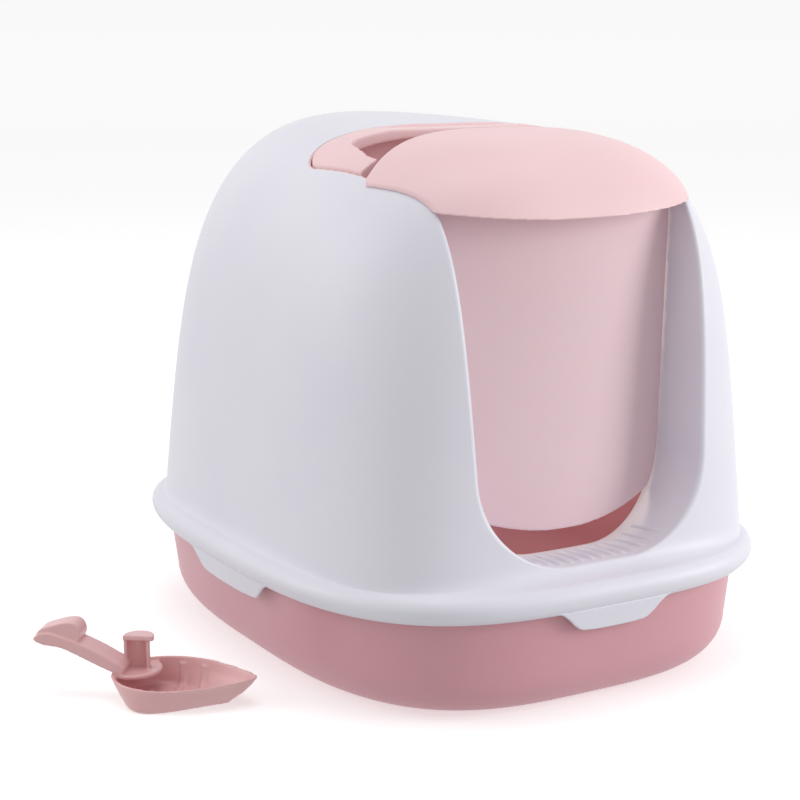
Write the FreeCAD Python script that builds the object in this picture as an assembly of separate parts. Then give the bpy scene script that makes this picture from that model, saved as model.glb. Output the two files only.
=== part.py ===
import FreeCAD, Part
import math
import os

# Hooded cat litter box. Millimetres, +Z up, entrance towards -Y.
# The origin is the centre of the pan's flat underside.

RIM_HALF_WIDTH = 200.0        # widest line of the hood's rolled rim, along X
RIM_HALF_LENGTH = 248.8       # the same line along Y
CROWN_HEIGHT = 404.2          # top of the hood's crown
RIM_POWER = 3.18              # superellipse exponent of pan and rim in plan
RIM_BOTTOM = 79.3
DOME_BASE = 102.6             # where the hood wall rises from the rim
RIM_PROFILE = ((RIM_BOTTOM, 3.6), (82.0, 1.4), (87.5, 0.0), (92.0, 1.0), (95.8, 4.4))  # z, inset

PAN_WALL = 2.5
PAN_HALF_WIDTH = 180.4        # outside, just above the rounded bottom
PAN_HALF_LENGTH = 233.6
PAN_BOTTOM_RADIUS = 35.6
PAN_LIP_TOP = 92.5
PAN_LIP_HALF_WIDTH = 189.2
PAN_LIP_HALF_LENGTH = 238.2
PAN_LIP_HEIGHT = 6.0
PAN_LIP_OUTSET = 1.6          # how far the lip stands out from the wall under it

DOME_HALF_WIDTH = 185.8       # hood wall at its base
DOME_BACK = 234.3
DOME_FRONT = 224.2
DOME_TAPER = 12.9             # how far the walls lean in over the full height
DOME_TILT = 0.036             # the crown drops slightly towards the entrance
HOOD_WALL = 3.0

SILL_HEIGHT = 104.5           # lowest point of the entrance
SILL_DROP = 3.5               # fall of the step from the entrance to the door
OPENING_RADIUS = 70.0
OPENING_HALF_WIDTH = 97.0     # at SIDE_HEIGHT; the sides lean out above it
SIDE_HEIGHT = 185.0
SIDE_LEAN = math.atan2(8.0, 165.0)
OPENING_TOP = 372.0
TUNNEL_WALL = 2.6
RIB_COUNT = 15
RIB_SPAN = 126.0
RIB_WIDTH = 2.2
RIB_HEIGHT = 1.3
RIB_TOP = 200.0

DOOR_RADIUS = 290.0           # the door bows forwards in plan
DOOR_FRONT = -180.0
DOOR_THICKNESS = 2.2
DOOR_GAP = 1.1
DOOR_BOTTOM = 118.0
DOOR_BOTTOM_RADIUS = 200.0
DOOR_TOP = 361.0
DOOR_AXIS_Y = -163.0
DOOR_AXIS_Z = 357.0
DOOR_PIN_RADIUS = 2.5
DOOR_KNUCKLE_RADIUS = 4.6
DOOR_KNUCKLE_SPAN = (92.0, 103.2)
DOOR_PIN_SPAN = (96.0, 107.6)
DOOR_BORE_SPAN = (95.0, 110.0)
FRAME_BORE_SPAN = (100.0, 115.0)

VISOR_LIFT = 2.4              # height of the visor's top over the crown
VISOR_GAP = 0.3
VISOR_HALF_WIDTH = 108.0      # at its straight front sides
VISOR_FRONT_HEIGHT = 346.5    # lowest point of the visor's front edge
VISOR_FRONT_RADIUS = 900.0    # the front edge rises in an arc to both sides
PEG_RADIUS = 3.0              # pegs that seat the visor in the crown
PEG_X = 98.0
PEG_Y = -128.0

CUP_HALF_WIDTH = 128.2        # inside of the handle's well
CUP_FRONT_HALF_WIDTH = 122.0  # the well narrows towards the visor
CUP_REAR = -11.0
CUP_FRONT = -112.0
CUP_CORNER = 28.0
CUP_WALL = 1.8
CUP_FLOOR = 353.5
HANDLE_GAP = 1.2              # between the bail and the well around it
HANDLE_FRONT = -98.0
HANDLE_BAND = 26.5            # width of the rear bar and of the arms behind the slot's corners
HANDLE_ARM = 13.5             # width of the arms at the pivots
HANDLE_TOP_LIFT = 0.6
HANDLE_FLAT_TOP = 401.8       # the middle of the bar is flat, a little below the crown
HANDLE_THICKNESS = 8.0
HANDLE_AXIS_Y = -84.0
HANDLE_AXIS_Z = 370.5
HANDLE_PIN_RADIUS = 2.0
HANDLE_KNUCKLE_RADIUS = 5.5
HANDLE_KNUCKLE_SPAN = (111.0, 122.8)
HANDLE_PIN_SPAN = (114.8, 125.9)
HANDLE_BORE_SPAN = (114.3, 132.0)
CUP_BORE_SPAN = (117.0, 132.0)

RUNNING_GAP = 0.07            # radial clearance of a pin in its moving bore

TAB_DEPTH = 16.5              # how far a tab hangs below the rim
TAB_RUN = 24.0                # length of the S-curve at each end
TAB_BOW = 4.0
TAB_THICKNESS = 2.6
TAB_OUTSET = 3.4              # gap from the widest rim line in to the tab's outer face
TAB_LEAN = 3.0
FRONT_TAB_LENGTH = 100.0
SIDE_TAB_LENGTH = 134.0
SIDE_TAB_CENTRE = -15.0

TRAY_HALF_WIDTH = 72.0
TRAY_BACK = -116.0
TRAY_FRONT = -160.0
TRAY_BOTTOM = 361.0
TRAY_TOP = 377.0
TRAY_WALL = 1.8
PAD_THICKNESS = 9.0

SCOOP_CENTRE = (-256.3, -70.3)
SCOOP_HEADING = math.radians(-37.7)
SCOOP_DEPTH = 20.5
SCOOP_RIM_SLOPE = 0.08
SCOOP_WALL = 2.2
SCOOP_RINGS = (               # neck end, tip end, half width, shape of the sides, height
    (-37.0, 33.0, 31.0, (0.74, 0.62, 0.0), 0.0),
    (-40.0, 36.0, 33.2, (0.75, 0.60, 0.0), 2.5),
    (-45.0, 45.0, 33.6, (0.80, 0.50, 0.08), 9.0),
    (-49.0, 51.0, 33.6, (0.86, 0.40, 0.16), 15.0),
    (-52.0, 55.0, 33.4, (0.92, 0.30, 0.25), SCOOP_DEPTH))
SCOOP_ARM_WIDTH = 22.0
SCOOP_ARM_OFFSET = 3.0
SCOOP_POST_X = -35.5
SCOOP_POST_Y = 8.0
SCOOP_POST_RADIUS = 9.5
SCOOP_POST_TOP = 45.5

RING_POINTS = 48
DOME_LEVELS = (0.0, 0.12, 0.25, 0.38, 0.5, 0.6, 0.69, 0.77, 0.84, 0.895, 0.935,
               0.963, 0.982, 0.993, 0.9993)

Vector = FreeCAD.Vector


def superellipse_wire(half_x, back, front, power_back, power_front, z, tilt=0.0):
    """Closed smooth outline; the two halves meet on the X axis."""
    points = []
    for k in range(RING_POINTS):
        angle = 2 * math.pi * k / RING_POINTS
        c, s = math.cos(angle), math.sin(angle)
        reach, power = (back, power_back) if s >= 0 else (front, power_front)
        r = (abs(c / half_x) ** power + abs(s / reach) ** power) ** (-1 / power)
        points.append(Vector(r * c, r * s, z + tilt * r * s))
    curve = Part.BSplineCurve()
    curve.interpolate(Points=points, PeriodicFlag=True)
    return Part.Wire([curve.toShape()])


def plain_ring(half_x, half_y, z):
    return superellipse_wire(half_x, half_y, half_y, RIM_POWER, RIM_POWER, z)


def dome_wire(level, offset):
    """Section of the hood at a level from 0 at its base to 1 at the crown, moved out by offset."""
    top = CROWN_HEIGHT + offset
    taper = DOME_TAPER * level
    half_x = (DOME_HALF_WIDTH + offset - taper) * (1 - level ** 4.5) ** (1 / 3.5)
    back = (DOME_BACK + offset - taper) * (1 - level ** 5.56) ** (1 / 7.0)
    front = (DOME_FRONT + offset - taper) * (1 - level ** 5.76) ** (1 / 7.0)
    power_back = 3.46 - 1.44 * level
    power_front = 4.14 - 1.0 * level
    z = DOME_BASE + (top - DOME_BASE) * level
    return superellipse_wire(half_x, back, front, power_back, power_front, z, DOME_TILT * level ** 5)


def dome_solid(offset, bottom=DOME_BASE - 6.0):
    """Solid under the hood's surface moved out by offset."""
    base = superellipse_wire(DOME_HALF_WIDTH + offset, DOME_BACK + offset, DOME_FRONT + offset,
                             3.46, 4.14, bottom)
    wires = [base] + [dome_wire(level, offset) for level in DOME_LEVELS]
    return Part.makeLoft(wires, True, False)


def stack(rings, ruled=True):
    """Solid through plan outlines given as (half width, half length, z)."""
    return Part.makeLoft([plain_ring(*ring) for ring in rings], True, ruled)


def prism(wire, direction):
    return Part.Face(wire).extrude(direction)


def polygon_arc_wire(edges):
    return Part.Wire([edge.toShape() for edge in edges])


def entrance_wire(inset, y, sill=SILL_HEIGHT, top=OPENING_TOP):
    """U-shaped entrance outline, inset all round, in the plane at y."""
    radius = OPENING_RADIUS - inset
    centre_z = SILL_HEIGHT + OPENING_RADIUS
    cos_lean, sin_lean = math.cos(SIDE_LEAN), math.sin(SIDE_LEAN)
    rise = SIDE_HEIGHT - centre_z
    centre_x = OPENING_HALF_WIDTH - (OPENING_RADIUS + rise * sin_lean) / cos_lean
    low_x, low_z = centre_x, centre_z - radius
    end_x = centre_x + radius * cos_lean
    end_z = centre_z - radius * sin_lean
    middle = math.radians(-90 + (90 - math.degrees(SIDE_LEAN)) / 2)
    mid_x = centre_x + radius * math.cos(middle)
    mid_z = centre_z + radius * math.sin(middle)
    top_x = end_x + (top - end_z) * math.tan(SIDE_LEAN)
    fall = SILL_HEIGHT - sill

    def at(x, z):
        weight = max(0.0, (centre_z - z) / OPENING_RADIUS)
        return Vector(x, y, z - fall * weight)

    right = Part.Arc(at(low_x, low_z), at(mid_x, mid_z), at(end_x, end_z))
    left = Part.Arc(at(-end_x, end_z), at(-mid_x, mid_z), at(-low_x, low_z))
    return polygon_arc_wire([
        Part.LineSegment(at(-low_x, low_z), at(low_x, low_z)), right,
        Part.LineSegment(at(end_x, end_z), at(top_x, top)),
        Part.LineSegment(at(top_x, top), at(-top_x, top)),
        Part.LineSegment(at(-top_x, top), at(-end_x, end_z)), left])


def entrance_prism(inset, top=OPENING_TOP):
    wire = entrance_wire(inset, -270.0, top=top)
    return prism(wire, Vector(0, 150, 0))


def rod(radius, x0, x1, y, z):
    return Part.makeCylinder(radius, x1 - x0, Vector(x0, y, z), Vector(1, 0, 0))


def door_axis_rod(radius, x0, x1):
    return rod(radius, x0, x1, DOOR_AXIS_Y, DOOR_AXIS_Z)


def handle_axis_rod(radius, x0, x1):
    return rod(radius, x0, x1, HANDLE_AXIS_Y, HANDLE_AXIS_Z)


def both_sides(make, x0, x1):
    """The same piece on +X and on -X, fused."""
    return make(x0, x1).fuse(make(-x1, -x0))


def litter_pan():
    outer = []
    inner = []
    steps = 6
    for k in range(steps + 1):
        angle = math.pi / 2 * k / steps
        inset = PAN_BOTTOM_RADIUS * (1 - math.sin(angle))
        z = PAN_BOTTOM_RADIUS * (1 - math.cos(angle))
        outer.append((PAN_HALF_WIDTH - inset, PAN_HALF_LENGTH - inset, z))
        inner_radius = PAN_BOTTOM_RADIUS - PAN_WALL
        inset = PAN_WALL + inner_radius * (1 - math.sin(angle))
        z = PAN_WALL + inner_radius * (1 - math.cos(angle))
        inner.append((PAN_HALF_WIDTH - inset, PAN_HALF_LENGTH - inset, z))
    lip_in_x = PAN_LIP_HALF_WIDTH - PAN_LIP_OUTSET
    lip_in_y = PAN_LIP_HALF_LENGTH - PAN_LIP_OUTSET
    outer.append((lip_in_x, lip_in_y, PAN_LIP_TOP - PAN_LIP_HEIGHT))
    body = stack(outer)
    lip = stack([(PAN_LIP_HALF_WIDTH, PAN_LIP_HALF_LENGTH, PAN_LIP_TOP - PAN_LIP_HEIGHT),
                 (PAN_LIP_HALF_WIDTH, PAN_LIP_HALF_LENGTH, PAN_LIP_TOP)])
    inner.append((lip_in_x - PAN_WALL, lip_in_y - PAN_WALL, PAN_LIP_TOP + 2.0))
    return body.fuse(lip).cut(stack(inner)).removeSplitter()


def rim_solid(wall):
    """Rolled rim with its sloping flange, or the space under it when wall is above zero."""
    rings = []
    for z, inset in RIM_PROFILE:
        rings.append((RIM_HALF_WIDTH - inset - wall, RIM_HALF_LENGTH - inset - wall, z - wall * 0.55))
    top = (DOME_HALF_WIDTH - 1.0 - wall, DOME_FRONT - 1.0 - wall, DOME_BASE - wall * 0.8)
    rings.append(top)
    if wall > 0:
        x, y, z = rings[0]
        rings[0] = (x, y, RIM_BOTTOM - 1.0)
    return stack(rings)


def cup_outline(grow, z):
    """Plan outline of the handle's well, moved out by grow."""
    half = CUP_HALF_WIDTH + grow
    front_half = CUP_FRONT_HALF_WIDTH + grow
    rear = CUP_REAR + grow
    front = CUP_FRONT - grow
    r = CUP_CORNER + grow
    k = r * (1 - math.sqrt(0.5))
    return polygon_arc_wire([
        Part.LineSegment(Vector(front_half, front, z), Vector(half, rear - r, z)),
        Part.Arc(Vector(half, rear - r, z), Vector(half - k, rear - k, z), Vector(half - r, rear, z)),
        Part.LineSegment(Vector(half - r, rear, z), Vector(r - half, rear, z)),
        Part.Arc(Vector(r - half, rear, z), Vector(k - half, rear - k, z), Vector(-half, rear - r, z)),
        Part.LineSegment(Vector(-half, rear - r, z), Vector(-front_half, front, z)),
        Part.LineSegment(Vector(-front_half, front, z), Vector(front_half, front, z))])


def cup_block(grow, floor):
    return prism(cup_outline(grow, floor), Vector(0, 0, CROWN_HEIGHT + 20 - floor))


def vent_slots():
    """Slots through the crown, above the filter and under the visor."""
    slots = []
    for k in range(-4, 5):
        slots.append(Part.makeBox(6.0, 30.0, 40.0, Vector(14.0 * k - 3.0, -153.0, 375.0)))
    return slots


def hood_shell():
    outer = rim_solid(0.0).fuse(dome_solid(0.0))
    inner = rim_solid(HOOD_WALL).fuse(dome_solid(-HOOD_WALL))
    shell = outer.cut(inner)
    pegs = [Part.makeCylinder(PEG_RADIUS, 60.0, Vector(x, PEG_Y, 360.0)) for x in (-PEG_X, PEG_X)]
    reliefs = both_sides(lambda x0, x1: door_axis_rod(DOOR_PIN_RADIUS + 0.4, x0, x1), *FRAME_BORE_SPAN)
    shell = shell.cut([entrance_prism(0.0), cup_block(CUP_WALL, 340.0), reliefs] + pegs + vent_slots())
    return shell.removeSplitter()


def entrance_block(inset, top):
    """Solid inside the entrance's outline, falling gently from the entrance to the door."""
    return Part.makeLoft([entrance_wire(inset, -240.0, SILL_HEIGHT, top),
                          entrance_wire(inset, -150.0, SILL_HEIGHT - SILL_DROP, top)], True, True)


def step_ribs():
    """Low ribs on the step that run from the entrance's edge to the door."""
    band = entrance_block(-0.6, RIB_TOP).cut(entrance_block(RIB_HEIGHT, RIB_TOP + 1.0))
    ribs = []
    for k in range(RIB_COUNT):
        x = RIB_SPAN * (k / (RIB_COUNT - 1) - 0.5)
        ribs.append(Part.makeBox(RIB_WIDTH, 44.0, 60.0, Vector(x - RIB_WIDTH / 2, -219.0, 90.0)))
    return [rib.common(band) for rib in ribs]


def entrance_frame():
    top = OPENING_TOP - 6.0
    channel = entrance_block(-TUNNEL_WALL, top).cut(entrance_block(0.0, top + 1.0))
    channel = channel.fuse(step_ribs())
    behind = Part.makeCylinder(DOOR_RADIUS - 5.0, 400.0, Vector(0, DOOR_FRONT + DOOR_RADIUS, 50.0))
    channel = channel.common(dome_solid(-HOOD_WALL - 0.05, 85.0)).cut(behind)
    bores = both_sides(lambda x0, x1: door_axis_rod(DOOR_PIN_RADIUS, x0, x1), *FRAME_BORE_SPAN)
    return channel.cut(bores)


def door_flap():
    centre = Vector(0, DOOR_FRONT + DOOR_RADIUS, 90.0)
    sheet = Part.makeCylinder(DOOR_RADIUS, 300.0, centre)
    sheet = sheet.cut(Part.makeCylinder(DOOR_RADIUS - DOOR_THICKNESS, 300.0, centre))
    circle_z = DOOR_BOTTOM + DOOR_BOTTOM_RADIUS
    lower = Part.makeCylinder(DOOR_BOTTOM_RADIUS, 150.0, Vector(0, -270.0, circle_z), Vector(0, 1, 0))
    lower = lower.fuse(Part.makeBox(400.0, 150.0, 100.0, Vector(-200.0, -270.0, circle_z)))
    outline = entrance_prism(DOOR_GAP, DOOR_TOP).common(lower)
    knuckles = both_sides(lambda x0, x1: door_axis_rod(DOOR_KNUCKLE_RADIUS, x0, x1), *DOOR_KNUCKLE_SPAN)
    bores = both_sides(lambda x0, x1: door_axis_rod(DOOR_PIN_RADIUS + RUNNING_GAP, x0, x1),
                       *DOOR_BORE_SPAN)
    return sheet.common(outline).fuse(knuckles).cut(bores).removeSplitter()


def visor_outline(z):
    """Plan outline of the visor: straight front sides, flared rear wings, arched rear edge."""
    def at(x, y):
        return Vector(x, y, z)

    def half(side):
        flare = Part.BSplineCurve()
        points = [at(side * VISOR_HALF_WIDTH, -178.0), at(side * 111.0, -168.0), at(side * 116.0, -154.0),
                  at(side * 122.5, -136.0), at(side * 127.6, -119.0)]
        flare.interpolate(points if side > 0 else points[::-1])
        return flare

    return polygon_arc_wire([
        Part.LineSegment(at(-VISOR_HALF_WIDTH, -240.0), at(VISOR_HALF_WIDTH, -240.0)),
        Part.LineSegment(at(VISOR_HALF_WIDTH, -240.0), at(VISOR_HALF_WIDTH, -178.0)), half(1),
        Part.Arc(at(127.6, -119.0), at(127.4, -114.4), at(123.6, -112.0)),
        Part.Arc(at(123.6, -112.0), at(0.0, -80.0), at(-123.6, -112.0)),
        Part.Arc(at(-123.6, -112.0), at(-127.4, -114.4), at(-127.6, -119.0)), half(-1),
        Part.LineSegment(at(-VISOR_HALF_WIDTH, -178.0), at(-VISOR_HALF_WIDTH, -240.0))])


def visor():
    block = prism(visor_outline(VISOR_FRONT_HEIGHT), Vector(0, 0, 100.0))
    cap = dome_solid(VISOR_LIFT).cut(dome_solid(VISOR_GAP))
    arc_z = VISOR_FRONT_HEIGHT + VISOR_FRONT_RADIUS
    arc = Part.makeCylinder(VISOR_FRONT_RADIUS, 300.0, Vector(0, -260.0, arc_z), Vector(0, 1, 0))
    cap = cap.common(block).common(arc)
    pegs = [Part.makeCylinder(PEG_RADIUS, 32.0, Vector(x, PEG_Y, 366.0)) for x in (-PEG_X, PEG_X)]
    return cap.fuse([peg.common(dome_solid(VISOR_LIFT - 1.0)) for peg in pegs]).removeSplitter()


def handle_cup():
    outer = cup_block(CUP_WALL, CUP_FLOOR - CUP_WALL)
    cup = outer.cut(cup_block(0.0, CUP_FLOOR)).common(dome_solid(-0.3))
    bores = both_sides(lambda x0, x1: handle_axis_rod(HANDLE_PIN_RADIUS, x0, x1), *CUP_BORE_SPAN)
    return cup.cut(bores).removeSplitter()


def handle_outline(z):
    """U-shaped bail in plan, arms narrowing towards the pivots."""
    def at(x, y):
        return Vector(x, y, z)
    w, rear, r = CUP_HALF_WIDTH - HANDLE_GAP, CUP_REAR - HANDLE_GAP, CUP_CORNER - HANDLE_GAP
    taper = (CUP_HALF_WIDTH - CUP_FRONT_HALF_WIDTH) / (CUP_REAR - CUP_CORNER - CUP_FRONT)
    foot = w - taper * (rear - r - HANDLE_FRONT)
    k = r * (1 - math.sqrt(0.5))
    slot_x, slot_y = w - HANDLE_BAND, rear - HANDLE_BAND
    foot_x = foot - HANDLE_ARM
    s = 8.0
    q = s * (1 - math.sqrt(0.5))
    neck = HANDLE_FRONT + 14.0
    return polygon_arc_wire([
        Part.LineSegment(at(foot, HANDLE_FRONT), at(w, rear - r)),
        Part.Arc(at(w, rear - r), at(w - k, rear - k), at(w - r, rear)),
        Part.LineSegment(at(w - r, rear), at(r - w, rear)),
        Part.Arc(at(r - w, rear), at(k - w, rear - k), at(-w, rear - r)),
        Part.LineSegment(at(-w, rear - r), at(-foot, HANDLE_FRONT)),
        Part.LineSegment(at(-foot, HANDLE_FRONT), at(-foot_x, HANDLE_FRONT)),
        Part.LineSegment(at(-foot_x, HANDLE_FRONT), at(-foot_x, neck)),
        Part.LineSegment(at(-foot_x, neck), at(-slot_x, slot_y - s)),
        Part.Arc(at(-slot_x, slot_y - s), at(q - slot_x, slot_y - q), at(s - slot_x, slot_y)),
        Part.LineSegment(at(s - slot_x, slot_y), at(slot_x - s, slot_y)),
        Part.Arc(at(slot_x - s, slot_y), at(slot_x - q, slot_y - q), at(slot_x, slot_y - s)),
        Part.LineSegment(at(slot_x, slot_y - s), at(foot_x, neck)),
        Part.LineSegment(at(foot_x, neck), at(foot_x, HANDLE_FRONT)),
        Part.LineSegment(at(foot_x, HANDLE_FRONT), at(foot, HANDLE_FRONT))])


def carry_handle():
    block = prism(handle_outline(330.0), Vector(0, 0, HANDLE_FLAT_TOP - 330.0))
    skin = dome_solid(HANDLE_TOP_LIFT).cut(dome_solid(HANDLE_TOP_LIFT - HANDLE_THICKNESS))
    bail = skin.common(block)
    knuckles = both_sides(lambda x0, x1: handle_axis_rod(HANDLE_KNUCKLE_RADIUS, x0, x1),
                          *HANDLE_KNUCKLE_SPAN)
    knuckles = knuckles.common(dome_solid(HANDLE_TOP_LIFT))
    bores = both_sides(lambda x0, x1: handle_axis_rod(HANDLE_PIN_RADIUS + RUNNING_GAP, x0, x1),
                       *HANDLE_BORE_SPAN)
    return bail.fuse(knuckles).cut(bores).removeSplitter()


def sided(span, side):
    """A span given for +X, as it is or turned over to -X."""
    return span if side > 0 else (-span[1], -span[0])


def handle_pin(side):
    x0, x1 = sided(HANDLE_PIN_SPAN, side)
    return handle_axis_rod(HANDLE_PIN_RADIUS, x0, x1)


def door_pin(side):
    x0, x1 = sided(DOOR_PIN_SPAN, side)
    return door_axis_rod(DOOR_PIN_RADIUS, x0, x1)


def tab_drop(along, half):
    """How far the tab's edge hangs below its root: an S-curve at each end, a shallow bow between."""
    run = min(1.0, (half - abs(along)) / TAB_RUN)
    return (TAB_DEPTH - TAB_BOW * (along / half) ** 2) * run * run * (3 - 2 * run)


def tab(length, centre, turned):
    """Tab that hangs from the rim; turned puts it on the long side at -X instead of the front."""
    half = length / 2
    root = RIM_BOTTOM - 1.0

    def at(along, z):
        return Vector(-300.0, centre + along, z) if turned else Vector(centre + along, -300.0, z)

    points = []
    for k in range(25):
        along = half * (k / 12 - 1)
        points.append(at(along, root - tab_drop(along, half)))
    edge = Part.BSplineCurve()
    edge.interpolate(points)
    top = RIM_BOTTOM - 0.4
    sides = [Part.makeLine(at(half, root), at(half, top)), Part.makeLine(at(half, top), at(-half, top)),
             Part.makeLine(at(-half, top), at(-half, root))]
    reach = Vector(300.0, 0, 0) if turned else Vector(0, 300.0, 0)
    block = prism(Part.Wire([edge.toShape()] + sides), reach)
    low = root - TAB_DEPTH - 1.0
    wide, long = RIM_HALF_WIDTH - TAB_OUTSET, RIM_HALF_LENGTH - TAB_OUTSET
    t = TAB_THICKNESS
    outer = stack([(wide - TAB_LEAN, long - TAB_LEAN, low), (wide, long, RIM_BOTTOM)])
    inner = stack([(wide - TAB_LEAN - t, long - TAB_LEAN - t, low), (wide - t, long - t, RIM_BOTTOM)])
    return outer.cut(inner).common(block)


def mirrored(shape, normal):
    return shape.mirror(Vector(0, 0, 0), normal)


def filter_tray():
    """Open-topped tray that hangs on two posts from the crown, slotted in its floor."""
    width = 2 * TRAY_HALF_WIDTH
    depth = TRAY_BACK - TRAY_FRONT
    corner = Vector(-TRAY_HALF_WIDTH, TRAY_FRONT, TRAY_BOTTOM)
    box = Part.makeBox(width, depth, TRAY_TOP - TRAY_BOTTOM, corner)
    wall = Vector(TRAY_WALL, TRAY_WALL, TRAY_WALL)
    hollow = Part.makeBox(width - 2 * TRAY_WALL, depth - 2 * TRAY_WALL, 40.0, corner + wall)
    slots = []
    for k in range(-5, 6):
        place = Vector(12.0 * k - 3.0, TRAY_FRONT + 8.0, TRAY_BOTTOM - 4.0)
        slots.append(Part.makeBox(6.0, depth - 16.0, 10.0, place))
    posts = [Part.makeBox(8.0, 6.0, 40.0, Vector(x, TRAY_BACK - 6.0, TRAY_TOP - 4.0))
             for x in (-TRAY_HALF_WIDTH, TRAY_HALF_WIDTH - 8.0)]
    ceiling = dome_solid(-HOOD_WALL - 0.05)
    return box.cut(hollow).cut(slots).fuse([post.common(ceiling) for post in posts]).removeSplitter()


def filter_pad():
    inset = TRAY_WALL + 0.5
    return Part.makeBox(2 * (TRAY_HALF_WIDTH - inset), TRAY_BACK - TRAY_FRONT - 2 * inset, PAD_THICKNESS,
                        Vector(inset - TRAY_HALF_WIDTH, TRAY_FRONT + inset, TRAY_BOTTOM + TRAY_WALL))


def scoop_ring(ring, inset, lift=0.0, slope=0.0):
    """Drop-shaped outline in the scoop's own frame: blunt at the neck, pointed towards +X."""
    neck, tip, width, shape, z = ring
    centre, length = (neck + tip) / 2, (tip - neck) / 2 - inset
    points = []
    for k in range(RING_POINTS):
        angle = 2 * math.pi * k / RING_POINTS
        c, s = math.cos(angle), math.sin(angle)
        narrow = shape[0] - shape[1] * c - shape[2] * c * c
        y = (width - inset) * math.copysign(abs(s) ** 0.86, s) * narrow
        points.append(Vector(centre + length * c, y, z + lift + slope * y))
    curve = Part.BSplineCurve()
    curve.interpolate(Points=points, PeriodicFlag=True)
    return Part.Wire([curve.toShape()])


def scoop_bowl(inset):
    """Flaring bowl; its far side stands a little higher than its near side."""
    wires = [scoop_ring(SCOOP_RINGS[0], inset, lift=inset)]
    wires += [scoop_ring(ring, inset, lift=inset * 0.7) for ring in SCOOP_RINGS[1:2]]
    wires += [scoop_ring(ring, inset) for ring in SCOOP_RINGS[2:-1]]
    wires.append(scoop_ring(SCOOP_RINGS[-1], inset, lift=0.6 if inset else 0.0, slope=SCOOP_RIM_SLOPE))
    return Part.makeLoft(wires, True, True)


def side_prism(points, width, across):
    """Smooth closed outline in the scoop's XZ plane, extruded to a width centred on across."""
    curve = Part.BSplineCurve()
    curve.interpolate(Points=[Vector(x, across - width / 2, z) for x, z in points], PeriodicFlag=True)
    return prism(Part.Wire([curve.toShape()]), Vector(0, width, 0))


def scoop_arm():
    """Grip that rises from the neck and levels out, with a raised thumb pad at its end."""
    arm = side_prism(((-44.0, 20.0), (-58.0, 25.5), (-76.0, 34.0), (-91.0, 39.5), (-103.0, 41.5),
                      (-107.5, 45.0), (-103.0, 48.5), (-90.0, 48.0), (-74.0, 42.5), (-56.0, 34.0),
                      (-46.0, 28.5), (-41.0, 23.5)), SCOOP_ARM_WIDTH, SCOOP_ARM_OFFSET)
    pad = side_prism(((-106.5, 45.5), (-105.0, 49.5), (-96.0, 54.0), (-85.0, 57.0), (-77.5, 56.5),
                      (-73.5, 51.0), (-75.0, 43.0), (-88.0, 43.5)), SCOOP_ARM_WIDTH - 4.0, SCOOP_ARM_OFFSET)
    return arm.fuse(pad)


def scoop_post():
    """Half-round hanging post on the deck over the neck, with a lip at its top."""
    x, y, outer, base = SCOOP_POST_X, SCOOP_POST_Y, SCOOP_POST_RADIUS, SCOOP_DEPTH - 2.0
    inner = outer - 2.4
    tube = Part.makeCylinder(outer, SCOOP_POST_TOP - base, Vector(x, y, base))
    tube = tube.cut(Part.makeCylinder(inner, SCOOP_POST_TOP - base, Vector(x, y, base - 3.0)))
    tube = tube.cut(Part.makeBox(40.0, 20.0, 60.0, Vector(x - 20.0, y - 21.5, base - 5.0)))
    lip = Part.makeCylinder(outer + 1.8, 3.6, Vector(x + 1.4, y, SCOOP_POST_TOP - 3.6))
    front = Part.makeBox(40.0, 20.0, 10.0, Vector(x - 20.0, y - 22.5, SCOOP_POST_TOP - 6.0))
    return tube.fuse(lip.cut(front))


def scoop():
    bowl = scoop_bowl(0.0).cut(scoop_bowl(SCOOP_WALL))
    slots = []
    for x, half in ((-26.0, 14.0), (-16.0, 14.0), (-6.0, 13.0), (4.0, 10.0), (14.0, 6.0)):
        slots.append(Part.makeBox(3.4, 2 * half, 12.0, Vector(x - 1.7, -half, -6.0)))
    band = scoop_bowl(SCOOP_WALL - 0.2).cut(scoop_bowl(SCOOP_WALL + 1.3))
    ribs = [band.common(Part.makeBox(4.5, 40.0, 15.5, Vector(x, 8.0, 3.0))) for x in (-9.0, 8.0)]
    deck = scoop_bowl(0.4).common(Part.makeBox(45.0, 70.0, 2.8, Vector(-60.0, -35.0, SCOOP_DEPTH - 3.2)))
    deck = deck.common(Part.makeCylinder(21.0, 40.0, Vector(SCOOP_POST_X - 4.0, SCOOP_POST_Y + 4.0, 0.0)))
    whole = bowl.cut(slots).fuse([deck, scoop_arm(), scoop_post()] + ribs).removeSplitter()
    whole.rotate(Vector(0, 0, 0), Vector(0, 0, 1), math.degrees(SCOOP_HEADING))
    return whole.translated(Vector(SCOOP_CENTRE[0], SCOOP_CENTRE[1], 0.0))


def build():
    front_tab = tab(FRONT_TAB_LENGTH, 0.0, False)
    left_tab = tab(SIDE_TAB_LENGTH, SIDE_TAB_CENTRE, True)
    return {
        "litter_pan": litter_pan(),
        "hood_shell": hood_shell(),
        "entrance_frame": entrance_frame(),
        "visor": visor(),
        "handle_cup": handle_cup(),
        "carry_handle": carry_handle(),
        "handle_pin_left": handle_pin(-1),
        "handle_pin_right": handle_pin(1),
        "door_flap": door_flap(),
        "door_pin_left": door_pin(-1),
        "door_pin_right": door_pin(1),
        "latch_front": front_tab,
        "latch_back": mirrored(front_tab, Vector(0, 1, 0)),
        "latch_left": left_tab,
        "latch_right": mirrored(left_tab, Vector(1, 0, 0)),
        "filter_tray": filter_tray(),
        "filter_pad": filter_pad(),
        "scoop": scoop(),
    }


def main():
    os.makedirs("parts", exist_ok=True)
    for node, shape in build().items():
        shape.exportStep("parts/" + node + ".step")
        print(node, len(shape.Solids), shape.isValid(), round(shape.Volume))


if __name__ == "__main__":
    main()
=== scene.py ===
import math

import bmesh
import bpy
import numpy as np
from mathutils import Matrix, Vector
from mathutils.bvhtree import BVHTree


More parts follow.
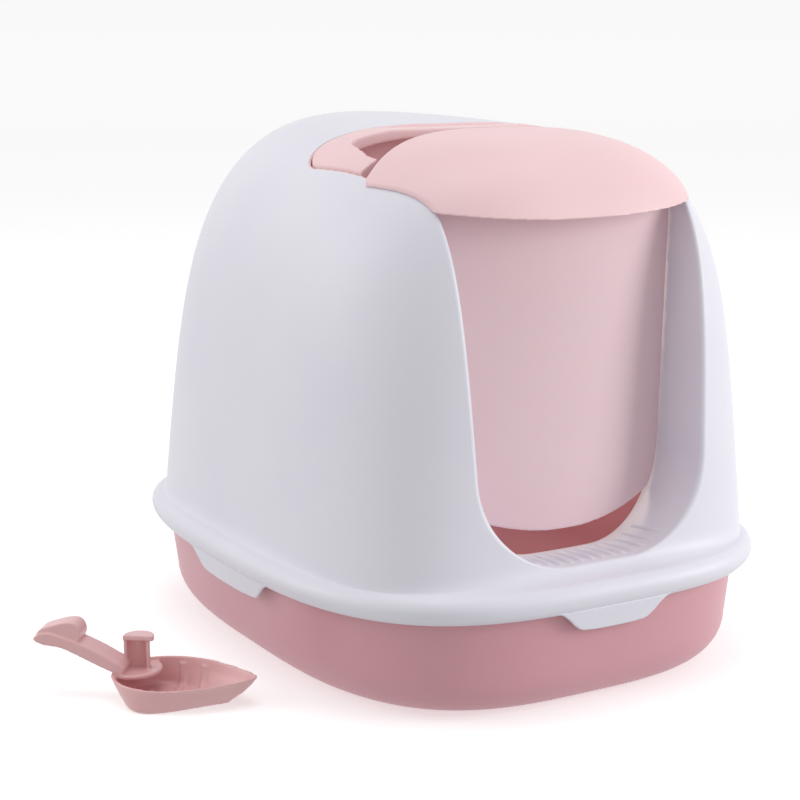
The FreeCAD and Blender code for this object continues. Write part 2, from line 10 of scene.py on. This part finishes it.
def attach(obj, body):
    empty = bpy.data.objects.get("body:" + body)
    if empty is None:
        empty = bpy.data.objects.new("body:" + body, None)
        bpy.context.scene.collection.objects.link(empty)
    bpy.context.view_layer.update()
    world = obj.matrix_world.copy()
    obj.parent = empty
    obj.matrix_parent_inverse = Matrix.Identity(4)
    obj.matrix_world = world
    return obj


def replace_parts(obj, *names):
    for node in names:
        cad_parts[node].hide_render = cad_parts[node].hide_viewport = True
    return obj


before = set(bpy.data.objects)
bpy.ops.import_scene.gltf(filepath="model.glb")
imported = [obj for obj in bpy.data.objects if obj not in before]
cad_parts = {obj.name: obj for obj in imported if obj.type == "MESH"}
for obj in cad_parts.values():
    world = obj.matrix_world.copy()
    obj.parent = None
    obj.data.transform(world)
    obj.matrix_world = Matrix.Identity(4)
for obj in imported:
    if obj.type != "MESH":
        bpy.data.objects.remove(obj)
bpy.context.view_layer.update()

MM = 0.001
TURN = 2 * math.pi

# Plan shape and heights of the box, in millimetres, as the CAD model has them.
RIM_HALF_WIDTH, RIM_HALF_LENGTH, RIM_POWER = 200.0, 248.8, 3.18
DOME_BASE, CROWN_HEIGHT = 102.6, 404.2
DOME_HALF_WIDTH, DOME_BACK, DOME_FRONT, DOME_TAPER = 185.8, 234.3, 224.2, 12.9
POWER_BACK, POWER_FRONT = 3.46, 4.14
DOME_TILT = 0.036
HOOD_WALL = 3.0
SILL_HEIGHT, SILL_DROP = 104.5, 3.5
SILL_RAMP_START, SILL_RAMP_LENGTH = -226.0, 60.0      # the step falls by SILL_DROP over this stretch
OPENING_RADIUS, OPENING_HALF_WIDTH, SIDE_HEIGHT = 70.0, 97.0, 185.0
OPENING_TOP = 372.0
SILL_FLAT = OPENING_HALF_WIDTH - OPENING_RADIUS     # half the width of the sill's level part
SIDE_LEAN = math.atan2(8.0, 165.0)
LIP_RADIUS, SILL_LIP_RADIUS = 4.0, 1.4      # rounding of the entrance's edge at its sides and its sill
LIP_BLEND_HEIGHT = 40.0                     # height over which one rounding passes into the other
LIP_EDGE_RADIUS = 1.3                       # rounding of the moulding's rear edge
LIP_FLANGE = 5.5                            # the moulding's outer side ends this far behind the lip's front
DOOR_RADIUS, DOOR_FRONT = 290.0, -180.0
REACH_BEHIND_DOOR = 5.0                     # how far the moulding runs on behind the door's front
PAN_HALF_WIDTH, PAN_HALF_LENGTH, PAN_BOTTOM_RADIUS, PAN_WALL = 180.4, 233.6, 35.6, 2.5
PAN_LIP_TOP, PAN_LIP_HALF_WIDTH, PAN_LIP_HALF_LENGTH = 92.5, 189.2, 238.2
PAN_LIP_BEAD, PAN_LIP_DEPTH = 1.6, 6.0
CUP_HALF_WIDTH, CUP_FRONT_HALF_WIDTH, CUP_REAR, CUP_FRONT, CUP_CORNER = 128.2, 122.0, -11.0, -112.0, 28.0
CUP_WALL = 1.8

# Sections of the rolled rim and the pan's lip, as height and distance in (or out) from the plan shape.
RIM_OUTER_PROFILE = ((76.9, 6.6), (77.6, 5.2), (79.0, 3.9), (81.2, 2.0), (84.0, 0.6), (87.2, 0.0),
                     (90.4, 0.5), (93.2, 1.9), (95.2, 3.9), (96.4, 5.6), (97.2, 7.6))
RIM_INNER_PROFILE = ((78.0, 9.0), (84.0, 4.2), (88.0, 3.6), (92.0, 5.0), (94.2, 8.5))
PAN_LIP_PROFILE = ((86.9, 1.2), (88.0, 1.6), (91.4, 1.6), (92.3, 1.1), (92.5, 0.2), (92.5, -1.2),
                   (92.0, -2.2))

# Ribs on the step.
RIB_COUNT, RIB_SPREAD, RIB_START, RIB_LENGTH = 15, 126.0, -217.0, 38.0
RIB_HEIGHT, RIB_HALF_WIDTH, RIB_SINK, RIB_FAN = 2.3, 2.0, 0.25, 0.05

TOP_LEVEL = 0.99985         # the dome's rings stop here, just short of the crown's single point
INNER_TOP_LEVEL = 0.9998
FILLET_LEVEL = 0.028        # level at which the dome's rings take over from the rim's fillet

# Section of the studio bowl in metres: radius and height.
BOWL_PROFILE = ((0.01, 0), (2.5, 0), (4.0, 0), (5.0, 0.08), (5.7, 0.5), (6.1, 1.3), (6.3, 2.6), (6.3, 5.0))
FLOOR_COLOUR, FLOOR_GLOW = 0.80, 0.45

CAMERA_AZIMUTH, CAMERA_ELEVATION = math.radians(-30.98), math.radians(11.22)
CAMERA_DISTANCE, CAMERA_HEIGHT = 1.4724, 0.190
CAMERA_LENS, CAMERA_SENSOR = 82.4, 36.0
CAMERA_SHIFT_X, CAMERA_SHIFT_Y = -0.0472, -0.0118


# ---------- meshes ----------

def superellipse(half_x, back, front, power_back, power_front, z, count, tilt=0.0):
    """Points of a plan outline, evenly spaced along its length, in millimetres."""
    angle = np.linspace(0, TURN, 1441)[:-1]
    c, s = np.cos(angle), np.sin(angle)
    reach = np.where(s >= 0, back, front)
    power = np.where(s >= 0, power_back, power_front)
    r = (np.abs(c / half_x) ** power + np.abs(s / reach) ** power) ** (-1 / power)
    x, y = r * c, r * s
    step = np.hypot(np.diff(np.append(x, x[0])), np.diff(np.append(y, y[0])))
    run = np.concatenate([[0], np.cumsum(step)])
    want = np.linspace(0, run[-1], count + 1)[:-1]
    px = np.interp(want, run, np.append(x, x[0]))
    py = np.interp(want, run, np.append(y, y[0]))
    return np.stack([px, py, z + tilt * py], 1)


def rim_ring(half_x, half_y, z, count):
    return superellipse(half_x, half_y, half_y, RIM_POWER, RIM_POWER, z, count)


def dome_ring(level, offset, count):
    """Ring of the hood's surface, level 0 at the base and 1 at the crown, moved out by offset."""
    taper = DOME_TAPER * level
    half_x = (DOME_HALF_WIDTH + offset - taper) * (1 - level ** 4.5) ** (1 / 3.5)
    back = (DOME_BACK + offset - taper) * (1 - level ** 5.56) ** (1 / 7.0)
    front = (DOME_FRONT + offset - taper) * (1 - level ** 5.76) ** (1 / 7.0)
    z = DOME_BASE + (CROWN_HEIGHT + offset - DOME_BASE) * level
    return superellipse(half_x, back, front, POWER_BACK - 1.44 * level, POWER_FRONT - level, z,
                        count, DOME_TILT * level ** 5)


def grid_mesh(rings, close_ends=(False, False)):
    """Mesh through rings of equal length; either end may be closed by a fan."""
    count = len(rings[0])
    points = np.concatenate(rings)
    faces = []
    rows = len(rings)
    for i in range(rows - 1):
        low, high = i * count, (i + 1) * count
        for k in range(count):
            nxt = (k + 1) % count
            faces.append((low + k, low + nxt, high + nxt, high + k))
    if close_ends[0]:
        points = np.vstack([points, rings[0].mean(0)])
        centre = len(points) - 1
        faces += [(centre, (k + 1) % count, k) for k in range(count)]
    if close_ends[1]:
        points = np.vstack([points, rings[-1].mean(0)])
        centre = len(points) - 1
        base = (rows - 1) * count
        faces += [(centre, base + k, base + (k + 1) % count) for k in range(count)]
    return points, faces


def strip_mesh(sections):
    """Mesh through open sections laid side by side."""
    count = len(sections[0])
    faces = []
    for i in range(len(sections) - 1):
        low, high = i * count, (i + 1) * count
        for k in range(count - 1):
            faces.append((low + k, low + k + 1, high + k + 1, high + k))
    return np.concatenate(sections), faces


def prism_mesh(rings):
    """Closed prism between two equal rings of points."""
    count = len(rings[0])
    points, faces = grid_mesh(rings)
    faces += [tuple(range(count)), tuple(range(2 * count - 1, count - 1, -1))]
    return points, faces


def make_object(name, points, faces, material, smooth_angle=40.0):
    mesh = bpy.data.meshes.new(name)
    mesh.from_pydata([tuple(p * MM) for p in np.asarray(points)], [], faces)
    mesh.update()
    bm = bmesh.new()
    bm.from_mesh(mesh)
    bmesh.ops.remove_doubles(bm, verts=bm.verts, dist=0.00001)
    bmesh.ops.recalc_face_normals(bm, faces=bm.faces)
    bm.to_mesh(mesh)
    bm.free()
    obj = bpy.data.objects.new(name, mesh)
    bpy.context.scene.collection.objects.link(obj)
    finish_mesh(obj, material, smooth_angle)
    return obj


def finish_mesh(obj, material, smooth_angle=40.0):
    obj.data.materials.clear()
    obj.data.materials.append(material)
    obj.data.polygons.foreach_set("use_smooth", [True] * len(obj.data.polygons))
    obj.data.set_sharp_from_angle(angle=math.radians(smooth_angle))


def apply_modifiers(obj):
    depsgraph = bpy.context.evaluated_depsgraph_get()
    mesh = bpy.data.meshes.new_from_object(obj.evaluated_get(depsgraph))
    old = obj.data
    obj.modifiers.clear()
    obj.data = mesh
    bpy.data.meshes.remove(old)


def cut(obj, tools):
    for tool in tools:
        modifier = obj.modifiers.new("cut", "BOOLEAN")
        modifier.operation = "DIFFERENCE"
        modifier.solver = "EXACT"
        modifier.object = tool
    apply_modifiers(obj)
    for tool in tools:
        mesh = tool.data
        bpy.data.objects.remove(tool)
        bpy.data.meshes.remove(mesh)


def softened(node, name, voxel, rounds, material):
    """Copy of a CAD node with its edges rounded like moulded plastic, and even faces of size voxel."""
    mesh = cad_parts[node].data.copy()
    obj = bpy.data.objects.new(name, mesh)
    bpy.context.scene.collection.objects.link(obj)
    mesh.name = name
    remesh = obj.modifiers.new("remesh", "REMESH")
    remesh.mode = "VOXEL"
    remesh.voxel_size = voxel * MM
    relax = obj.modifiers.new("relax", "SMOOTH")
    relax.factor = 0.5
    relax.iterations = rounds
    apply_modifiers(obj)
    finish_mesh(obj, material, 180.0)
    return obj


# ---------- materials ----------

def node_material(name):
    material = bpy.data.materials.new(name)
    material.use_nodes = True
    nodes = material.node_tree.nodes
    return material, nodes, material.node_tree.links, nodes["Principled BSDF"]


def moulded_plastic(name, base, deep, roughness, grain=0.05, subsurface=0.12, coat=0.0):
    """Satin moulded plastic: a soft drift of colour, and a fine grain in its roughness and relief."""
    material, nodes, links, shader = node_material(name)
    place = nodes.new("ShaderNodeTexCoord")
    drift = nodes.new("ShaderNodeTexNoise")
    drift.inputs["Scale"].default_value = 9.0
    drift.inputs["Detail"].default_value = 3.0
    links.new(place.outputs["Object"], drift.inputs["Vector"])
    ramp = nodes.new("ShaderNodeValToRGB")
    ramp.color_ramp.elements[0].position = 0.3
    ramp.color_ramp.elements[0].color = (*deep, 1)
    ramp.color_ramp.elements[1].position = 0.7
    ramp.color_ramp.elements[1].color = (*base, 1)
    links.new(drift.outputs["Fac"], ramp.inputs["Fac"])
    links.new(ramp.outputs["Color"], shader.inputs["Base Color"])
    fine = nodes.new("ShaderNodeTexNoise")
    fine.inputs["Scale"].default_value = 900.0
    fine.inputs["Detail"].default_value = 2.0
    links.new(place.outputs["Object"], fine.inputs["Vector"])
    spread = nodes.new("ShaderNodeMapRange")
    spread.inputs["To Min"].default_value = roughness - 0.05
    spread.inputs["To Max"].default_value = roughness + 0.05
    links.new(fine.outputs["Fac"], spread.inputs["Value"])
    links.new(spread.outputs["Result"], shader.inputs["Roughness"])
    bump = nodes.new("ShaderNodeBump")
    bump.inputs["Strength"].default_value = grain
    bump.inputs["Distance"].default_value = 0.0004
    links.new(fine.outputs["Fac"], bump.inputs["Height"])
    links.new(bump.outputs["Normal"], shader.inputs["Normal"])
    shader.inputs["Subsurface Weight"].default_value = subsurface
    shader.inputs["Subsurface Radius"].default_value = (0.006, 0.004, 0.004)
    shader.inputs["Coat Weight"].default_value = coat
    shader.inputs["Coat Roughness"].default_value = 0.3
    shader.inputs["IOR"].default_value = 1.48
    return material


def foam(name):
    material, nodes, links, shader = node_material(name)
    cells = nodes.new("ShaderNodeTexVoronoi")
    cells.inputs["Scale"].default_value = 420.0
    place = nodes.new("ShaderNodeTexCoord")
    links.new(place.outputs["Object"], cells.inputs["Vector"])
    ramp = nodes.new("ShaderNodeValToRGB")
    ramp.color_ramp.elements[0].color = (0.004, 0.004, 0.005, 1)
    ramp.color_ramp.elements[1].color = (0.06, 0.06, 0.065, 1)
    links.new(cells.outputs["Distance"], ramp.inputs["Fac"])
    links.new(ramp.outputs["Color"], shader.inputs["Base Color"])
    bump = nodes.new("ShaderNodeBump")
    bump.inputs["Strength"].default_value = 0.8
    bump.inputs["Distance"].default_value = 0.001
    links.new(cells.outputs["Distance"], bump.inputs["Height"])
    links.new(bump.outputs["Normal"], shader.inputs["Normal"])
    shader.inputs["Roughness"].default_value = 0.95
    return material


WHITE = moulded_plastic("white_shell", (0.80, 0.79, 0.86), (0.77, 0.76, 0.84), 0.46)
PAN_PINK = moulded_plastic("pink_shell", (0.68, 0.345, 0.385), (0.655, 0.325, 0.37), 0.42)
VISOR_PINK = moulded_plastic("visor_pink", (0.90, 0.64, 0.655), (0.88, 0.62, 0.64), 0.45)
DOOR_PINK = moulded_plastic("door_tint", (0.80, 0.60, 0.64), (0.78, 0.58, 0.62), 0.5, subsurface=0.3)
SCOOP_PINK = moulded_plastic("scoop_pink", (0.80, 0.47, 0.475), (0.77, 0.44, 0.45), 0.3, coat=0.2)
PIN_PLASTIC = moulded_plastic("pin_plastic", (0.70, 0.70, 0.73), (0.62, 0.62, 0.66), 0.4)
CHARCOAL = foam("charcoal_foam")


# ---------- hood ----------

def entrance_outline(sill_fall=0.0):
    """U-shaped entrance outline as (x, z) points with their outward normals, right top to left top."""
    radius = OPENING_RADIUS
    arc_steps, side_steps, sill_steps = 28, 40, 7
    centre_z = SILL_HEIGHT + radius
    cos_lean, sin_lean = math.cos(SIDE_LEAN), math.sin(SIDE_LEAN)
    rise = SIDE_HEIGHT - centre_z
    centre_x = OPENING_HALF_WIDTH - (radius + rise * sin_lean) / cos_lean
    end_x, end_z = centre_x + radius * cos_lean, centre_z - radius * sin_lean
    points, normals = [], []
    for z in np.linspace(OPENING_TOP, end_z, side_steps + 1)[:-1]:
        points.append((end_x + (z - end_z) * math.tan(SIDE_LEAN), z))
        normals.append((cos_lean, -sin_lean))
    for angle in np.linspace(-SIDE_LEAN, -math.pi / 2, arc_steps + 1):
        points.append((centre_x + radius * math.cos(angle), centre_z + radius * math.sin(angle)))
        normals.append((math.cos(angle), math.sin(angle)))
    for x in np.linspace(centre_x, 0, sill_steps + 1)[1:]:
        points.append((x, centre_z - radius))
        normals.append((0.0, -1.0))
    points = np.array(points)
    normals = np.array(normals)
    weight = np.clip((centre_z - points[:, 1]) / radius, 0, 1)
    points[:, 1] -= sill_fall * weight
    left = points[:-1][::-1] * (-1, 1)
    left_normals = normals[:-1][::-1] * (-1, 1)
    return np.vstack([points, left]), np.vstack([normals, left_normals])


def lip_radius(z):
    """Rounding of the entrance's edge at a height: full at the sides, small along the sill."""
    step = np.clip((z - SILL_HEIGHT) / LIP_BLEND_HEIGHT, 0, 1)
    return SILL_LIP_RADIUS + (LIP_RADIUS - SILL_LIP_RADIUS) * step * step * (3 - 2 * step)


def hood_rings(count=360):
    """Rings of the hood's outer surface, from the foot of its rim over the shoulder to the crown."""
    rings = []
    for z, inset in RIM_OUTER_PROFILE:
        rings.append(rim_ring(RIM_HALF_WIDTH - inset, RIM_HALF_LENGTH - inset, z, count))
    flange = rings[-1]
    wall = dome_ring(FILLET_LEVEL, 0.0, count)
    start = dome_ring(0.0, 0.0, count)
    for step in np.linspace(0, 1, 9)[1:-1]:
        across = 1 - (1 - step) ** 1.9
        up = step ** 2.4
        ring = flange * (1 - across) + start * across
        ring[:, 2] = flange[:, 2] * (1 - up) + wall[:, 2] * up
        ring[:, :2] += (wall[:, :2] - start[:, :2]) * step
        rings.append(ring)
    for level in np.sin(np.linspace(FILLET_LEVEL, math.pi / 2, 96)):
        rings.append(dome_ring(min(level, TOP_LEVEL), 0.0, count))
    return rings


def hood_shell():
    """White hood with its rolled rim, hollow inside; returns a function that gives its front surface."""
    outer = hood_rings()
    count = len(outer[0])
    inner = []
    for z, inset in RIM_INNER_PROFILE:
        inner.append(rim_ring(RIM_HALF_WIDTH - inset, RIM_HALF_LENGTH - inset, z, count))
    for level in np.sin(np.linspace(0.0, math.pi / 2, 60)):
        inner.append(dome_ring(min(level, INNER_TOP_LEVEL), -HOOD_WALL, count))
    points, faces = grid_mesh(inner[::-1] + outer, (True, True))
    skin = BVHTree.FromPolygons([tuple(point) for point in points], faces)

    def front_y(x, z):
        hit = skin.ray_cast(Vector((x, -400.0, z)), Vector((0, 1, 0)))
        return hit[0].y

    shell = make_object("hood_skin", points, faces, WHITE)
    cut(shell, [entrance_tool(), cup_tool()])
    finish_mesh(shell, WHITE, 35.0)
    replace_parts(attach(shell, "hood"), "hood_shell")
    return front_y


def entrance_tool():
    """Prism that opens the hood's front, as wide as the outer edge of the rounded lip."""
    outline, normals = entrance_outline()
    outline = outline + normals * lip_radius(outline[:, 1])[:, None]
    rings = [np.stack([outline[:, 0], np.full(len(outline), y), outline[:, 1]], 1)
             for y in (-290.0, -120.0)]
    points, faces = prism_mesh(rings)
    return make_object("tool", points, faces, WHITE)


def cup_outline(grow, steps=14):
    half, front_half = CUP_HALF_WIDTH + grow, CUP_FRONT_HALF_WIDTH + grow
    rear, front, r = CUP_REAR + grow, CUP_FRONT - grow, CUP_CORNER + grow
    points = [(front_half, front)]
    for angle in np.linspace(0, math.pi / 2, steps):
        points.append((half - r + r * math.cos(angle), rear - r + r * math.sin(angle)))
    for angle in np.linspace(math.pi / 2, math.pi, steps):
        points.append((r - half + r * math.cos(angle), rear - r + r * math.sin(angle)))
    points.append((-front_half, front))
    return np.array(points)


def cup_tool():
    """Prism that opens the crown for the handle's well."""
    outline = cup_outline(CUP_WALL - 0.3)
    rings = [np.stack([outline[:, 0], outline[:, 1], np.full(len(outline), z)], 1) for z in (345.0, 430.0)]
    points, faces = prism_mesh(rings)
    return make_object("tool", points, faces, WHITE)


def sill_fall_at(y):
    """Share of the step's fall reached at a depth, 0 at its front and 1 at its rear."""
    return min(1.0, max(0.0, (y - SILL_RAMP_START) / SILL_RAMP_LENGTH))


def entrance_lip(front_y):
    """The entrance's rounded edge, its side walls and the step, as one moulding."""
    edge, normals = entrance_outline()
    inner_edge, _ = entrance_outline(SILL_DROP)
    sections = []
    for (x, z), (nx, nz), (ix, iz) in zip(edge, normals, inner_edge):
        section = []
        radius = float(lip_radius(z))
        for angle in np.linspace(0, math.pi / 2, 9):
            out = radius * (1 - math.sin(angle))
            px, pz = x + nx * out, z + nz * out
            section.append((px, front_y(px, pz) + radius * (1 - math.cos(angle)), pz))
        start_y = section[-1][1]
        end_y = DOOR_FRONT + DOOR_RADIUS - math.sqrt((DOOR_RADIUS - REACH_BEHIND_DOOR) ** 2 - ix ** 2)
        for step in np.linspace(0, 1, 15)[1:]:
            y = start_y + (end_y - start_y) * step
            section.append((x, y, z - (z - iz) * sill_fall_at(y)))
        last = section[-1]
        for angle in np.linspace(0, math.pi, 6)[1:]:
            out = LIP_EDGE_RADIUS * (1 - math.cos(angle))
            y = last[1] + LIP_EDGE_RADIUS * math.sin(angle)
            section.append((last[0] + nx * out, y, last[2] + nz * out))
        for step in np.linspace(0, 1, 5)[1:]:
            out = 2 * LIP_EDGE_RADIUS + (radius - 2 * LIP_EDGE_RADIUS) * step
            y = end_y + (section[0][1] + LIP_FLANGE - end_y) * step
            section.append((last[0] + nx * out, y, last[2] + nz * out))
        sections.append(np.array(section))
    points, faces = strip_mesh(sections)
    lip = make_object("entrance_lip", points, faces, WHITE, 60.0)
    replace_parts(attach(lip, "hood"), "entrance_frame")


def corner_rise(x):
    """Height of the entrance's rounded bottom corner above the sill, at a distance from the middle."""
    reach = max(0.0, abs(x) - SILL_FLAT)
    return OPENING_RADIUS - math.sqrt(OPENING_RADIUS ** 2 - reach ** 2)


def rib_section(x, step):
    """Cross-section of a rib at a share of its length, standing square on the step's floor."""
    y = RIB_START + RIB_LENGTH * step
    rise = corner_rise(x)
    floor = SILL_HEIGHT + rise - SILL_DROP * max(0.0, 1 - rise / OPENING_RADIUS) * sill_fall_at(y)
    height = RIB_HEIGHT * math.sin(math.pi * step) ** 0.35 if 0 < step < 1 else 0.0
    lean = math.asin(min(0.99, max(0, abs(x) - SILL_FLAT) / OPENING_RADIUS)) * (-1 if x > 0 else 1)
    fanned = x * (1 + RIB_FAN * (0.5 - step))
    section = []
    for angle in np.linspace(0, math.pi, 7):
        across = RIB_HALF_WIDTH * math.cos(angle)
        up = height * math.sin(angle) - RIB_SINK
        section.append((fanned + across * math.cos(lean) + up * math.sin(lean), y,
                        floor - across * math.sin(lean) + up * math.cos(lean)))
    return np.array(section)


def step_ribs():
    """Low rounded ribs on the step, fanned slightly, dying out at both ends."""
    for k in range(RIB_COUNT):
        x = RIB_SPREAD * (k / (RIB_COUNT - 1) - 0.5)
        sections = [rib_section(x, step) for step in np.linspace(0, 1, 14)]
        points, faces = strip_mesh(sections)
        rib = make_object(f"step_rib_{k:02d}", points, faces, WHITE, 180.0)
        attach(rib, "hood")


# ---------- pan ----------

def litter_pan(count=300):
    """Open pan with rounded bottom and beaded lip, as one closed skin from the outside over the lip."""
    rings = []
    for angle in np.linspace(0, math.pi / 2, 12):
        inset = PAN_BOTTOM_RADIUS * (1 - math.sin(angle))
        z = PAN_BOTTOM_RADIUS * (1 - math.cos(angle))
        rings.append(rim_ring(PAN_HALF_WIDTH - inset, PAN_HALF_LENGTH - inset, z, count))
    wide, long = PAN_LIP_HALF_WIDTH - PAN_LIP_BEAD, PAN_LIP_HALF_LENGTH - PAN_LIP_BEAD
    rise = PAN_LIP_TOP - PAN_LIP_DEPTH - PAN_BOTTOM_RADIUS
    for step in np.linspace(0, 1, 8)[1:]:
        rings.append(rim_ring(PAN_HALF_WIDTH + (wide - PAN_HALF_WIDTH) * step,
                              PAN_HALF_LENGTH + (long - PAN_HALF_LENGTH) * step,
                              PAN_BOTTOM_RADIUS + rise * step, count))
    for z, out in PAN_LIP_PROFILE:
        rings.append(rim_ring(wide + out, long + out, z, count))
    inner_radius = PAN_BOTTOM_RADIUS - PAN_WALL
    for angle in np.linspace(math.pi / 2, 0, 12):
        inset = PAN_WALL + inner_radius * (1 - math.sin(angle))
        z = PAN_WALL + inner_radius * (1 - math.cos(angle))
        rings.append(rim_ring(PAN_HALF_WIDTH - inset, PAN_HALF_LENGTH - inset, z, count))
    points, faces = grid_mesh(rings, (True, True))
    pan = make_object("pan_skin", points, faces, PAN_PINK, 50.0)
    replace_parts(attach(pan, "pan"), "litter_pan")


# ---------- pieces that keep their CAD form, with moulded edges ----------

def moulded_pieces():
    """Replace each of these nodes by its rounded copy; voxel in millimetres, then rounds of smoothing."""
    table = (("visor", "visor_cap", 0.8, 4, VISOR_PINK, "hood", "visor_pink"),
             ("carry_handle", "bail_handle", 1.0, 5, VISOR_PINK, "handle", "visor_pink"),
             ("handle_cup", "handle_well", 0.8, 2, VISOR_PINK, "hood", "visor_pink"),
             ("door_flap", "swing_door", 0.9, 3, DOOR_PINK, "door", "door_tint"),
             ("scoop", "litter_scoop", 0.7, 5, SCOOP_PINK, "scoop", "scoop_pink"),
             ("latch_front", "tab_front", 0.8, 6, WHITE, "tab_front", "white_shell"),
             ("latch_back", "tab_back", 0.8, 6, WHITE, "tab_back", "white_shell"),
             ("latch_left", "tab_left", 0.8, 6, WHITE, "tab_left", "white_shell"),
             ("latch_right", "tab_right", 0.8, 6, WHITE, "tab_right", "white_shell"))
    for node, name, voxel, rounds, material, body, slot in table:
        piece = softened(node, name, voxel, rounds, material)
        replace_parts(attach(piece, body), node)


def plain_cad_nodes():
    """Materials of the small nodes that stay as the CAD model has them."""
    for node, material in (("handle_pin_left", PIN_PLASTIC), ("handle_pin_right", PIN_PLASTIC),
                           ("door_pin_left", PIN_PLASTIC), ("door_pin_right", PIN_PLASTIC),
                           ("filter_tray", WHITE), ("filter_pad", CHARCOAL)):
        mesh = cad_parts[node].data
        mesh.materials.clear()
        mesh.materials.append(material)


# ---------- stage ----------

def stage_material(name, colour, glow):
    material, nodes, links, shader = node_material(name)
    shader.inputs["Base Color"].default_value = (colour, colour, colour, 1)
    shader.inputs["Roughness"].default_value = 0.9
    shader.inputs["Specular IOR Level"].default_value = 0.1
    shader.inputs["Emission Color"].default_value = (1, 1, 1, 1)
    shader.inputs["Emission Strength"].default_value = glow
    return material


def floor_and_light():
    """Pale studio bowl, a floor that curves up into a wall all round, with the world light and lamps."""
    rings = []
    angle = np.linspace(0, TURN, 97)[:-1]
    for radius, z in BOWL_PROFILE:
        rings.append(np.stack([radius * np.cos(angle), radius * np.sin(angle), np.full(96, z)], 1) / MM)
    points, faces = grid_mesh(rings, (True, False))
    floor = make_object("floor", points, faces, stage_material("floor", FLOOR_COLOUR, FLOOR_GLOW), 180.0)
    floor.visible_diffuse = False
    world = bpy.data.worlds.new("studio")
    bpy.context.scene.world = world
    world.use_nodes = True
    back = world.node_tree.nodes["Background"]
    back.inputs["Color"].default_value = (1, 1, 1, 1)
    back.inputs["Strength"].default_value = 0.58
    area_light("key_right", (1.9, -1.6, 0.8), 28.0, 1.2)
    area_light("key_left", (-2.2, 1.2, 1.2), 15.0, 1.4)
    area_light("top", (-0.3, -0.1, 2.6), 16.0, 1.6)
    glow = bpy.data.lights.new("inside", "POINT")
    glow.energy = 0.5
    glow.color = (1.0, 0.88, 0.74)
    glow.shadow_soft_size = 0.05
    lamp = bpy.data.objects.new("inside", glow)
    lamp.location = (0, 0.02, 0.27)
    bpy.context.scene.collection.objects.link(lamp)


def area_light(name, place, power, size):
    data = bpy.data.lights.new(name, "AREA")
    data.energy = power
    data.size = size
    light = bpy.data.objects.new(name, data)
    light.location = place
    light.rotation_mode = "QUATERNION"
    light.rotation_quaternion = (Vector((0, 0, 0.2)) - Vector(place)).to_track_quat("-Z", "Y")
    bpy.context.scene.collection.objects.link(light)


def camera():
    target = Vector((0, 0, CAMERA_HEIGHT))
    level = math.cos(CAMERA_ELEVATION)
    back = Vector((math.sin(CAMERA_AZIMUTH) * level, -math.cos(CAMERA_AZIMUTH) * level,
                   math.sin(CAMERA_ELEVATION)))
    data = bpy.data.cameras.new("camera")
    data.sensor_width = CAMERA_SENSOR
    data.lens = CAMERA_LENS
    data.shift_x = CAMERA_SHIFT_X
    data.shift_y = CAMERA_SHIFT_Y
    data.clip_end = 50.0
    obj = bpy.data.objects.new("camera", data)
    obj.location = target + back * CAMERA_DISTANCE
    obj.rotation_mode = "QUATERNION"
    obj.rotation_quaternion = (-back).to_track_quat("-Z", "Y")
    bpy.context.scene.collection.objects.link(obj)
    bpy.context.scene.camera = obj


camera()
floor_and_light()
litter_pan()
entrance_lip(hood_shell())
step_ribs()
moulded_pieces()
plain_cad_nodes()
bpy.context.scene.view_settings.view_transform = "Standard"
